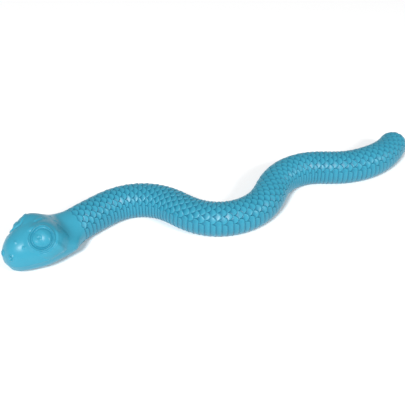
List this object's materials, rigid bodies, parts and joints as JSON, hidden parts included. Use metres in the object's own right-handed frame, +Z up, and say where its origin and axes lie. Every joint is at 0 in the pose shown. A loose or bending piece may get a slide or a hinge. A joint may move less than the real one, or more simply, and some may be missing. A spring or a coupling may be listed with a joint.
{
  "type": "flexible toy snake",
  "caption": "Flexible moulded rubber snake lying in S-bends, scaly back and flanks, smooth head with ringed eyes, flat belly with treat pockets.",
  "frame": {"origin": "on the ground under the centre of the bounding box", "axes": "+X along the length, from the snout to the tail; +Z up from the flat belly; +Y follows from the right-hand rule"},
  "size_m": [0.4205, 0.0892, 0.04],
  "materials": {
    "rubber": "satin turquoise thermoplastic rubber, slightly glossy on the crests of the scales"
  },
  "bodies": {
    "head": {"head": "rubber"},
    "neck": {"neck": "rubber"},
    "body_1": {"body_1": "rubber"},
    "body_2": {"body_2": "rubber"},
    "body_3": {"body_3": "rubber"},
    "body_4": {"body_4": "rubber"},
    "body_5": {"body_5": "rubber"},
    "body_6": {"body_6": "rubber"},
    "body_7": {"body_7": "rubber"},
    "body_8": {"body_8": "rubber"},
    "tail": {"tail": "rubber"}
  },
  "joints": [
    {"name": "head_bend", "type": "hinge", "parent": "neck", "child": "head", "pos_m": [-0.13091, 0.01809, 0.0128], "axis": [0, 0, 1], "range_deg": [-18, 18], "stiffness_Nm_per_rad": 0.8},
    {"name": "neck_bend", "type": "hinge", "parent": "body_1", "child": "neck", "pos_m": [-0.0955, 0.02844, 0.0128], "axis": [-0.0823, 0.9966, 0], "range_deg": [-18, 18], "stiffness_Nm_per_rad": 0.8},
    {"name": "back_bend_1", "type": "hinge", "parent": "body_2", "child": "body_1", "pos_m": [-0.06073, 0.01841, 0.0128], "axis": [0, 0, 1], "range_deg": [-18, 18], "stiffness_Nm_per_rad": 0.8},
    {"name": "back_bend_2", "type": "hinge", "parent": "body_3", "child": "body_2", "pos_m": [-0.0375, -0.01015, 0.0128], "axis": [0.7612, 0.6485, 0], "range_deg": [-18, 18], "stiffness_Nm_per_rad": 0.8},
    {"name": "back_bend_3", "type": "hinge", "parent": "body_4", "child": "body_3", "pos_m": [-0.00594, -0.02795, 0.0128], "axis": [0, 0, 1], "range_deg": [-18, 18], "stiffness_Nm_per_rad": 0.8},
    {"name": "back_bend_4", "type": "hinge", "parent": "body_4", "child": "body_5", "pos_m": [0.0296, -0.02092, 0.0128], "axis": [0.5225, -0.8527, 0], "range_deg": [-18, 18], "stiffness_Nm_per_rad": 0.8},
    {"name": "back_bend_5", "type": "hinge", "parent": "body_5", "child": "body_6", "pos_m": [0.05709, 0.00369, 0.0128], "axis": [0, 0, 1], "range_deg": [-18, 18], "stiffness_Nm_per_rad": 0.8},
    {"name": "back_bend_6", "type": "hinge", "parent": "body_6", "child": "body_7", "pos_m": [0.09207, 0.01303, 0.0128], "axis": [-0.0991, -0.9951, 0], "range_deg": [-18, 18], "stiffness_Nm_per_rad": 0.8},
    {"name": "back_bend_7", "type": "hinge", "parent": "body_7", "child": "body_8", "pos_m": [0.12726, 0.00195, 0.0128], "axis": [0, 0, 1], "range_deg": [-18, 18], "stiffness_Nm_per_rad": 0.8},
    {"name": "tail_bend", "type": "hinge", "parent": "body_8", "child": "tail", "pos_m": [0.16388, 0.00118, 0.0128], "axis": [0.2209, -0.9753, 0], "range_deg": [-18, 18], "stiffness_Nm_per_rad": 0.8}
  ]
}
